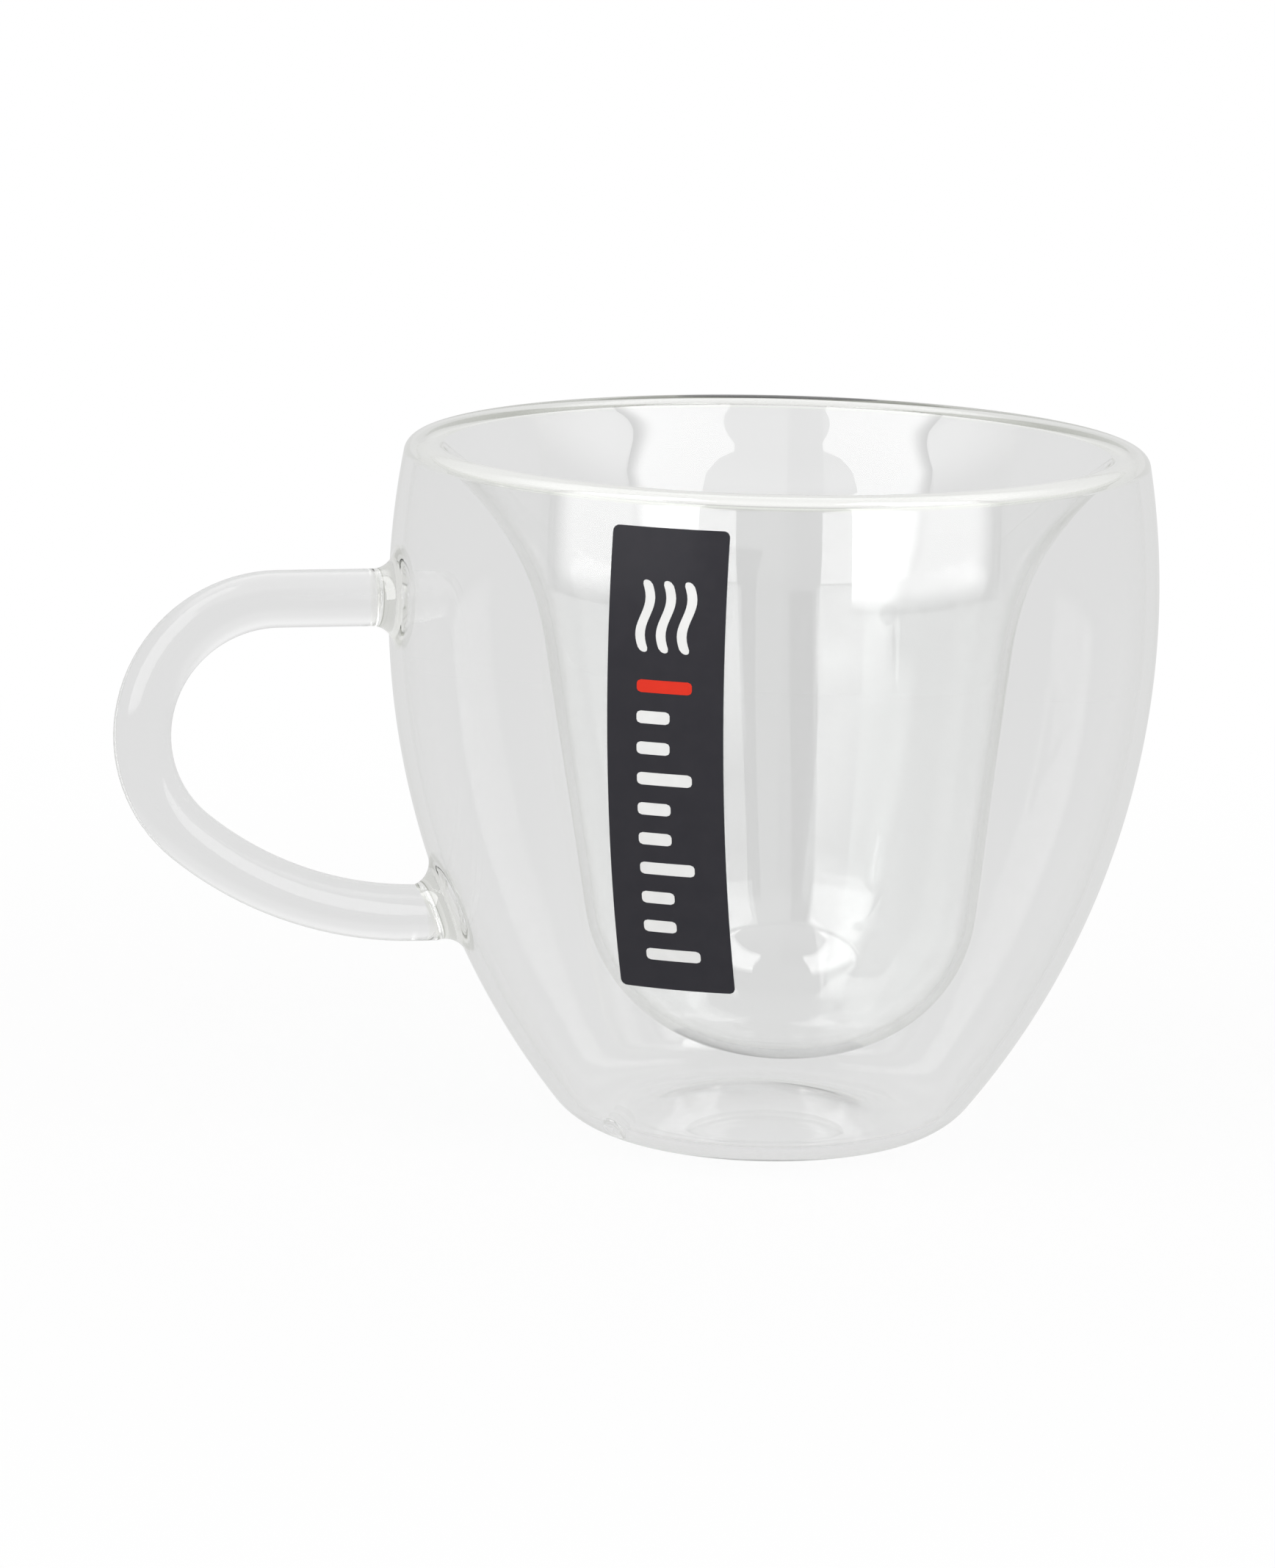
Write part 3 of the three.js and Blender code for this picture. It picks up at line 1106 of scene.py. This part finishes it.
@dataclass
class HandleWeld:
    """A weld: a collar of melted glass that flares from the rod to the outer wall."""

    shape: MugShape
    rod: RodHandle
    height: float
    name: str
    node: str
    fillet: float = 3 * MM
    flare_rings: int = 14

    @property
    def tilt(self) -> Vector:
        """Way that the outer wall faces at the weld, as outward and up."""
        radius = self.shape.wall_radius(self.height, self.rod.weld_length)
        return (Vector((radius, self.height)) - self.shape.belly).normalized()

    def spot(self) -> WeldSpot:
        """Oval of the outer face that the weld covers.

        Returns:
            The oval's middle and half sizes.
        """
        foot = self.height - self.rod.weld_length * self.tilt.y
        return WeldSpot(
            centre=Vector((self.shape.axis_x, 0, foot)),
            half_width=self.rod.rod_radius + self.fillet,
            half_height=self.rod.rod_radius + self.fillet * self.tilt.x,
        )

    def build(self) -> bpy.types.Object:
        """Shapes a short tube so that its rings spread and settle onto the wall.

        Returns:
            The bare piece.
        """
        bm = bmesh.new()
        bmesh.ops.create_cone(
            bm, cap_ends=False, segments=self.rod.ring_steps, radius1=1, radius2=1, depth=1
        )
        rises = [edge for edge in bm.edges if abs(edge.verts[0].co.z - edge.verts[1].co.z) > 0.5]
        bmesh.ops.subdivide_edges(bm, edges=rises, cuts=self.flare_rings - 1, use_grid_fill=True)
        for vert in bm.verts:
            vert.co = self._flared(vert.co.x, vert.co.y, vert.co.z + 0.5)
        Workshop.cap(bm)
        return Workshop.finish(bm, self.name)

    def _flared(self, side: float, up: float, along: float) -> Vector:
        """Place of a vertex of the unit tube on the flare.

        Args:
            side: Its share of the radius sideways.
            up: Its share of the radius upward.
            along: 0 on the wall and 1 at the rod.

        Returns:
            The place in the frame.
        """
        turn = along * math.pi / 2
        lift = self.rod.weld_length * (1 - math.cos(turn))
        spread = self.fillet * (1 - math.sin(turn))
        drift = (self.rod.weld_length - lift) * self.tilt.y
        level = self.height - drift + up * (self.rod.rod_radius + spread * self.tilt.x)
        across = side * (self.rod.rod_radius + spread)
        radius = self.shape.wall_radius(level, lift)
        return Vector((self.shape.axis_x - math.sqrt(radius**2 - across**2), across, level))

    def dress(self, piece: bpy.types.Object) -> None:
        """Gives the weld its glass."""
        glass = GlassFinish(self.name, tint=(0.93, 0.935, 0.905, 1.0))
        Workshop.seat(piece, "weld_glass", (glass, JointFinish()), self.node)


@dataclass
class VentSeal:
    """The vent's seal: a drop of glass melted over the small hole in the heel."""

    shape: MugShape
    tilt: float = math.radians(54)
    from_handle: float = math.radians(35)
    radius: float = 1.7 * MM
    rise: float = 0.8 * MM
    clearance: float = 0.2 * MM
    lump: float = 0.18 * MM
    lumps_per_radius: float = 1.7
    meridians: int = 32
    parallels: int = 20

    def build(self) -> bpy.types.Object:
        """Flattens a ball into an uneven drop on the heel.

        Returns:
            The bare piece.
        """
        bm = bmesh.new()
        bmesh.ops.create_uvsphere(
            bm, u_segments=self.meridians, v_segments=self.parallels, radius=self.radius
        )
        flat = self.rise / self.radius / 2
        bmesh.ops.scale(bm, verts=bm.verts, vec=(1, 1, flat))
        for vert in bm.verts:
            bump = noise.noise(vert.co / self.radius * self.lumps_per_radius)
            vert.co += vert.co.normalized() * bump * self.lump
        way = Vector((math.sin(self.tilt), 0, -math.cos(self.tilt)))
        place = Vector((self.shape.heel.x, 0, self.shape.heel.y))
        place += way * (self.shape.heel_curve + self.clearance + self.rise / 2)
        turn = Matrix.Rotation(math.pi + self.from_handle, 4, "Z")
        aim = way.to_track_quat("Z", "Y").to_matrix().to_4x4()
        home = Matrix.Translation((self.shape.axis_x, 0, 0))
        bmesh.ops.transform(bm, verts=bm.verts, matrix=home @ turn @ Matrix.Translation(place) @ aim)
        return Workshop.finish(bm, "vent_seal_glass")

    def dress(self, piece: bpy.types.Object) -> None:
        """Gives the drop its glass."""
        Workshop.seat(piece, "seal_glass", (GlassFinish("vent_seal_glass", ripple=0.5),), "vent_seal")


@dataclass(frozen=True)
class Mark:
    """A printed bar with round corners, placed from the label's middle, which may sway as it rises."""

    across: float
    up: float
    width: float
    height: float
    corner: float
    sway: float = 0.0


@dataclass
class FilmLabel:
    """The label: a narrow dark film down the front, with a printed level scale."""

    shape: MugShape
    from_handle: float = math.radians(61)
    width: float = 14 * MM
    low_height: float = 25.7 * MM
    top_height: float = 82 * MM
    corner: float = 0.7 * MM
    film: float = 0.2 * MM
    clearance: float = 0.1 * MM
    ink: float = 0.03 * MM
    cell: float = 0.5 * MM
    fewest_cells: int = 4
    steam_drop: float = 10.2 * MM
    steam_sway: float = 0.55 * MM
    scale_drop: float = 18.4 * MM
    bar_count: int = 10
    bars_per_long: int = 3

    @property
    def middle(self) -> float:
        """Height of the label's middle."""
        return (self.low_height + self.top_height) / 2

    def build(self) -> bpy.types.Object:
        """Cuts the film and wraps it on the wall.

        Returns:
            The bare piece.
        """
        bm = bmesh.new()
        sheet = Mark(0, 0, self.width, self.top_height - self.low_height, self.corner)
        self._sheet(bm, sheet, self.film, self.clearance)
        return Workshop.finish(bm, "label_film")

    def build_print(self, marks: list[Mark], name: str) -> bpy.types.Object:
        """Lays some marks on the film as thin ink.

        Args:
            marks: Bars to print.
            name: Name of the piece.

        Returns:
            One piece with all of them.
        """
        bm = bmesh.new()
        for mark in marks:
            self._sheet(bm, mark, self.ink, self.clearance + self.film)
        return Workshop.finish(bm, name)

    def _sheet(self, bm: bmesh.types.BMesh, mark: Mark, thickness: float, lift: float) -> None:
        """Adds a thin sheet with round corners, wrapped on the wall.

        Args:
            bm: The bmesh to add to.
            mark: Outline of the sheet.
            thickness: Its thickness.
            lift: Distance of its back from the wall.
        """
        grid = bmesh.ops.create_grid(
            bm,
            x_segments=max(round(mark.width / self.cell), self.fewest_cells),
            y_segments=max(round(mark.height / self.cell), self.fewest_cells),
            size=0.5,
        )["verts"]
        for vert in grid:
            vert.co = self._rounded(vert.co.x * mark.width, vert.co.y * mark.height, mark)
        faces = list(dict.fromkeys(face for vert in grid for face in vert.link_faces))
        made = bmesh.ops.solidify(bm, geom=faces, thickness=thickness)["geom"]
        verts = set(grid) | {item for item in made if isinstance(item, bmesh.types.BMVert)}
        deepest = min(vert.co.z for vert in verts)
        for vert in verts:
            height = self.middle + mark.up + vert.co.y
            sway = mark.sway * math.sin(2 * math.pi * vert.co.y / mark.height)
            across = mark.across + vert.co.x + sway
            angle = self.from_handle + across / self.shape.wall_radius(height)
            vert.co = self.shape.on_wall(angle, height, lift + vert.co.z - deepest)

    @staticmethod
    def _rounded(across: float, up: float, mark: Mark) -> Vector:
        """Draws a point of a square sheet in where a corner is round.

        Args:
            across: Distance from the middle sideways.
            up: Distance from the middle upward.
            mark: Outline of the sheet.

        Returns:
            The moved point.
        """
        side = abs(across) - (mark.width / 2 - mark.corner)
        rise = abs(up) - (mark.height / 2 - mark.corner)
        if side <= 0 or rise <= 0:
            return Vector((across, up, 0))
        share_x = side / mark.corner
        share_y = rise / mark.corner
        pull_x = (share_x - share_x * math.sqrt(1 - share_y**2 / 2)) * mark.corner
        pull_y = (share_y - share_y * math.sqrt(1 - share_x**2 / 2)) * mark.corner
        return Vector((across - math.copysign(pull_x, across), up - math.copysign(pull_y, up), 0))

    def steam_marks(self) -> list[Mark]:
        """Draws the steam at the top of the label.

        Returns:
            Three wisps.
        """
        height = 8.4 * MM
        thick = 1.15 * MM
        pitch = 2.5 * MM
        middle = self.top_height - self.middle - self.steam_drop
        return [
            Mark(i * pitch, middle, thick, height, thick / 2, self.steam_sway) for i in (-1, 0, 1)
        ]

    def scale_marks(self) -> tuple[list[Mark], list[Mark]]:
        """Bars of the level scale, below the steam.

        Returns:
            The white bars and the red ones.
        """
        pitch = 3.7 * MM
        long_bar = 6.6 * MM
        short_bar = 4.0 * MM
        thick = 1.5 * MM
        top = self.top_height - self.middle - self.scale_drop
        white: list[Mark] = []
        red: list[Mark] = []
        for i in range(self.bar_count):
            width = long_bar if i % self.bars_per_long == 0 else short_bar
            mark = Mark((width - long_bar) / 2, top - i * pitch, width, thick, thick / 3)
            (red if i == 0 else white).append(mark)
        return white, red

    def dress(self, piece: bpy.types.Object) -> None:
        """Gives the film its dark gloss."""
        finish = FilmFinish("label_film", (0.030, 0.0293, 0.0345, 1), (0.037, 0.036, 0.0415, 1))
        Workshop.seat(piece, "label_film", (finish,), "label")

    def dress_print(self, piece: bpy.types.Object, finish: FilmFinish) -> None:
        """Gives a print its ink."""
        Workshop.seat(piece, "label_film", (finish,))


class SeenBy(Enum):
    """Rays that a stage surface can answer by themselves."""

    CAMERA = "Is Camera Ray"
    GLOSSY = "Is Glossy Ray"
    TRANSMISSION = "Is Transmission Ray"


@dataclass(frozen=True)
class ClothEdge:
    """Where one level of a soft box's cloth begins and ends, in degrees.

    The rise is the angle above the mug's belly, and the others are turned from the camera.
    """

    rise: float
    inner: float
    outer: float


@dataclass
class Studio:
    """The stage: a white ground, soft light from both sides of the camera, and the camera."""

    shape: MugShape
    ground_size: float = 14.0
    ground_drop: float = 0.1 * MM
    ground_colour: Colour = (0.92, 0.92, 0.92, 1.0)
    ground_level: float = 1.0
    glass_level: float = 0.76
    shadow_share: float = 0.1
    shadow_reach: float = 0.3
    sky_level: float = 1.25
    sky_tones: tuple[tuple[float, float], ...] = (
        (0.0, 0.8),
        (0.2, 0.84),
        (0.6, 0.96),
        (0.8, 0.85),
        (0.95, 0.6),
    )
    ceiling_level: float = 2.5
    ceiling_range: tuple[float, float] = (0.6, 0.85)
    fill_level: float = 0.4
    box_turn: float = math.radians(50)
    box_distance: float = 1.2
    box_width: float = 1.16
    box_height: float = 2.9
    box_clear: float = 0.1
    cloth_reach: float = 1.5
    cloth_edges: tuple[ClothEdge, ...] = (
        ClothEdge(-2.3, 22, 68),
        ClothEdge(42, 24, 84),
        ClothEdge(51, 46, 92),
        ClothEdge(60, 48, 98),
        ClothEdge(67, 45, 104),
        ClothEdge(71, 37, 108),
        ClothEdge(73.5, 40, 110),
        ClothEdge(76.5, 75, 112),
    )
    cloth_cuts: int = 5
    hem_fade: float = 3.6
    side_fade: float = 0.22
    light_radiance: float = 2.1
    glow_radiance: float = 6.4
    glow_within: float = 0.80
    glow_through: float = 4.2
    clear_of_glass: float = 0.5
    beyond_two_walls: float = 3.5
    camera_turn: float = math.radians(-14)
    camera_distance: float = 686.5 * MM
    camera_height: float = 182.9 * MM
    camera_pitch: float = math.radians(11.54)
    camera_yaw: float = math.radians(-1.36)
    camera_roll: float = math.radians(1.2)
    focal_pixels: float = 7667.0
    sensor: float = 36.0

    def build(self) -> None:
        """Lays the ground, hangs the lights and sets the camera."""
        self._ground()
        self._surroundings()
        for side in (-1, 1):
            self._soft_box(side)
            self._glow_panel(side)
        self._camera()
        bpy.context.scene.view_settings.view_transform = "Standard"

    def _seen_level(self, sheet: NodeSheet) -> bpy.types.NodeSocket:
        """Brightness of the ground and the surroundings to the rays that show them.

        Args:
            sheet: Sheet of the material or the world.

        Returns:
            Full white straight from the camera, and the sweep's own pale grey by way of glass.
        """
        path = sheet.add("ShaderNodeLightPath")
        by_glass = sheet.math(
            "MAXIMUM", path.outputs[SeenBy.GLOSSY.value], path.outputs[SeenBy.TRANSMISSION.value]
        )
        direct = sheet.math("MULTIPLY", path.outputs[SeenBy.CAMERA.value], self.ground_level)
        return sheet.math("MULTIPLY_ADD", by_glass, self.glass_level, direct)

    def _ground(self) -> None:
        """Lays the ground, which is white and keeps a soft shadow."""
        bm = bmesh.new()
        bmesh.ops.create_grid(bm, x_segments=1, y_segments=1, size=self.ground_size / 2)
        bmesh.ops.translate(bm, verts=bm.verts, vec=(0, 0, -self.ground_drop))
        ground = Workshop.place(bm, "ground")
        material, sheet = NodeSheet.of_material("white_sweep")
        lit = sheet.add("ShaderNodeBsdfDiffuse", {"Color": self.ground_colour})
        glow = sheet.add("ShaderNodeEmission")
        level = self._seen_level(sheet)
        sheet.link(level, glow.inputs["Strength"])
        place = sheet.add("ShaderNodeTexCoord").outputs["Object"]
        away = sheet.vector_math("LENGTH", place).outputs["Value"]
        far = sheet.ranged(away, (0.0, self.shadow_reach), (1 - self.shadow_share, 1.0))
        share = sheet.math("MULTIPLY", sheet.math("GREATER_THAN", level, 0.0), far)
        sheet.surface(sheet.mix(share, lit.outputs["BSDF"], glow.outputs["Emission"]))
        ground.data.materials.append(material)

    def _surroundings(self) -> None:
        """Makes the room: a pale backdrop, a bright ceiling and a dim fill light."""
        world = bpy.data.worlds.new("studio")
        world.use_nodes = True
        bpy.context.scene.world = world
        sheet = NodeSheet(world.node_tree)
        way = sheet.add("ShaderNodeTexCoord").outputs["Generated"]
        parts = sheet.add("ShaderNodeSeparateXYZ")
        sheet.link(way, parts.inputs[0])
        sky = sheet.add("ShaderNodeValToRGB")
        sky.color_ramp.interpolation = "EASE"
        stops = sky.color_ramp.elements
        while len(stops) < len(self.sky_tones):
            stops.new(1.0)
        for stop, (height, tone) in zip(stops, self.sky_tones):
            stop.position = height
            stop.color = (tone, tone, tone, 1.0)
        sheet.link(parts.outputs["Z"], sky.inputs["Fac"])
        path = sheet.add("ShaderNodeLightPath")
        camera = path.outputs[SeenBy.CAMERA.value]
        tone = sheet.math("MULTIPLY", sky.outputs["Color"], self.sky_level)
        shaded = sheet.math("MULTIPLY", self._seen_level(sheet), tone)
        plain = sheet.math("MAXIMUM", shaded, sheet.math("MULTIPLY", camera, self.ground_level))
        seen = sheet.math("GREATER_THAN", plain, 0.0)
        fill = sheet.math("MULTIPLY", sheet.math("SUBTRACT", 1.0, seen), self.fill_level)
        ceiling = sheet.ranged(parts.outputs["Z"], self.ceiling_range, (0.0, self.ceiling_level))
        bare = sheet.math("LESS_THAN", path.outputs["Transmission Depth"], self.clear_of_glass)
        mirrored = sheet.math("MULTIPLY", path.outputs[SeenBy.GLOSSY.value], bare)
        plain = sheet.math("MULTIPLY_ADD", mirrored, ceiling, plain)
        back = sheet.add("ShaderNodeBackground", {"Color": (1, 1, 1, 1)})
        sheet.link(sheet.math("ADD", plain, fill), back.inputs["Strength"])
        out = sheet.add("ShaderNodeOutputWorld")
        sheet.link(back.outputs["Background"], out.inputs["Surface"])

    def _box_place(self, side: int) -> Matrix:
        """Place of a soft box beside the camera, with its back along +Z.

        Args:
            side: -1 for the one on the camera's left, 1 for the one on its right.

        Returns:
            The matrix that stands it there, facing the mug.
        """
        turn = self.camera_turn + side * self.box_turn
        away = Vector((math.sin(turn), -math.cos(turn), 0))
        middle = Vector((self.shape.axis_x, 0, self.box_clear + self.box_height / 2))
        middle += away * self.box_distance
        return Matrix.Translation(middle) @ away.to_track_quat("Z", "Y").to_matrix().to_4x4()

    def _soft_box(self, side: int) -> None:
        """Hangs the lamp of a soft box, which lights what is matt.

        Args:
            side: -1 for the one on the camera's left, 1 for the one on its right.
        """
        lamp = bpy.data.lights.new(f"soft_box_{side:+d}", "AREA")
        lamp.shape = "RECTANGLE"
        lamp.size = self.box_width
        lamp.size_y = self.box_height
        lamp.energy = self.light_radiance * math.pi * self.box_width * self.box_height
        holder = bpy.data.objects.new(lamp.name, lamp)
        holder.matrix_world = self._box_place(side)
        holder.visible_camera = False
        holder.visible_glossy = False
        holder.visible_transmission = False
        bpy.context.collection.objects.link(holder)

    def _glow_panel(self, side: int) -> None:
        """Hangs the bright cloth of a soft box, which shows in gloss and glass alone.

        Args:
            side: -1 for the one on the camera's left, 1 for the one on its right.
        """
        bm = bmesh.new()
        rows = len(self.cloth_edges) - 1
        bmesh.ops.create_grid(bm, x_segments=1, y_segments=rows, size=0.5)
        inward = bm.verts.layers.float.new("inward")
        for vert in bm.verts:
            edge = self.cloth_edges[round((vert.co.y + 0.5) * rows)]
            vert[inward] = 0.5 - vert.co.x
            vert.co = self._cloth_place(side, edge, vert.co.x > 0)
        bmesh.ops.subdivide_edges(bm, edges=bm.edges, cuts=self.cloth_cuts, use_grid_fill=True)
        panel = Workshop.place(bm, f"soft_box_cloth_{side:+d}")
        material, sheet = NodeSheet.of_material(panel.name)
        glow = sheet.add("ShaderNodeEmission")
        depth = sheet.add("ShaderNodeLightPath").outputs["Transmission Depth"]
        level: bpy.types.NodeSocket | float = self.glow_within
        for test, limit, strength in (
            ("LESS_THAN", self.clear_of_glass, self.glow_radiance),
            ("GREATER_THAN", self.beyond_two_walls, self.glow_through),
        ):
            reached = sheet.math(test, depth, limit)
            level = sheet.math("MULTIPLY_ADD", reached, strength - self.glow_within, level)
        sheet.link(sheet.math("MULTIPLY", level, self._cloth_fade(sheet)), glow.inputs["Strength"])
        sheet.surface(glow.outputs["Emission"])
        panel.data.materials.append(material)
        panel.visible_camera = False
        panel.visible_diffuse = False
        panel.visible_shadow = False

    def _cloth_fade(self, sheet: NodeSheet) -> bpy.types.NodeSocket:
        """How the light of a cloth falls off at its hem and its outer side.

        Args:
            sheet: Sheet of the cloth's material.

        Returns:
            1 well within the cloth and 0 at those two edges.
        """
        parts = sheet.add("ShaderNodeSeparateXYZ")
        sheet.link(sheet.add("ShaderNodeTexCoord").outputs["Object"], parts.inputs[0])
        hem = self.cloth_edges[0].rise
        limits = tuple(
            self.shape.belly_height + self.cloth_reach * math.sin(math.radians(rise))
            for rise in (hem, hem + self.hem_fade)
        )
        inward = sheet.add("ShaderNodeAttribute", attribute_name="inward").outputs["Fac"]
        above_hem = sheet.ranged(parts.outputs["Z"], limits)
        within_side = sheet.ranged(inward, (0.0, self.side_fade))
        return sheet.math("MULTIPLY", above_hem, within_side)

    def _cloth_place(self, side: int, edge: ClothEdge, outer: bool) -> Vector:
        """A corner of the curved cloth of a soft box.

        Args:
            side: -1 for the one on the camera's left, 1 for the one on its right.
            edge: Level of the cloth.
            outer: Whether the corner is the one away from the camera.

        Returns:
            The place in the frame.
        """
        turn = self.camera_turn + side * math.radians(edge.outer if outer else edge.inner)
        rise = math.radians(edge.rise)
        level = Vector((math.sin(turn), -math.cos(turn), 0)) * math.cos(rise)
        away = level + Vector((0, 0, math.sin(rise)))
        return Vector((self.shape.axis_x, 0, self.shape.belly_height)) + away * self.cloth_reach

    def _camera(self) -> None:
        """Sets the camera at the photograph's place, aim and focal length."""
        turn = Matrix.Rotation(self.camera_turn, 3, "Z")
        stand = turn @ Vector((0, -self.camera_distance, self.camera_height))
        flat = math.cos(self.camera_pitch)
        ahead = Vector((math.sin(self.camera_yaw), math.cos(self.camera_yaw), 0)) * flat
        forward = turn @ (ahead - Vector((0, 0, math.sin(self.camera_pitch))))
        level_right = forward.cross(Vector((0, 0, 1))).normalized()
        level_up = level_right.cross(forward)
        right = math.cos(self.camera_roll) * level_right + math.sin(self.camera_roll) * level_up
        up = right.cross(forward)
        lens = bpy.data.cameras.new("photo_camera")
        lens.sensor_fit = "HORIZONTAL"
        lens.sensor_width = self.sensor
        lens.lens = self.focal_pixels / PHOTO_WIDTH * self.sensor
        camera = bpy.data.objects.new("photo_camera", lens)
        axes = Matrix((right, up, -forward)).transposed().to_4x4()
        camera.matrix_world = Matrix.Translation(stand + Vector((self.shape.axis_x, 0, 0))) @ axes
        bpy.context.collection.objects.link(camera)
        bpy.context.scene.camera = camera


def build_glass(shape: MugShape) -> None:
    """Builds the walls, the rim, the handle with its welds, and the vent's seal.

    Args:
        shape: Sizes of the mug.
    """
    rod = RodHandle(shape)
    welds = [
        HandleWeld(shape, rod, rod.top_height, "upper_weld_glass", "upper_handle_weld"),
        HandleWeld(shape, rod, rod.low_height, "lower_weld_glass", "lower_handle_weld"),
    ]
    outer = OuterWall(shape, tuple(weld.spot() for weld in welds))
    for part in (outer, InnerCup(shape), RimBead(shape), rod, *welds, VentSeal(shape)):
        part.dress(part.build())


def build_label(shape: MugShape) -> None:
    """Builds the label and its print.

    Args:
        shape: Sizes of the mug.
    """
    label = FilmLabel(shape)
    label.dress(label.build())
    white, red = label.scale_marks()
    white_ink = FilmFinish("white_ink", (0.80, 0.80, 0.79, 1), (0.70, 0.70, 0.69, 1), 0.3)
    red_ink = FilmFinish("red_ink", (0.72, 0.040, 0.022, 1), (0.62, 0.033, 0.018, 1), 0.3)
    label.dress_print(label.build_print(label.steam_marks() + white, "label_white_marks"), white_ink)
    label.dress_print(label.build_print(red, "label_red_bar"), red_ink)


def main() -> None:
    """Builds the mug and its stage."""
    logging.basicConfig(level=logging.INFO, format="%(name)s: %(message)s")
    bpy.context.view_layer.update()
    shape = MugShape.from_frame()
    Studio(shape).build()
    build_glass(shape)
    build_label(shape)


if __name__ == "__main__":
    main()
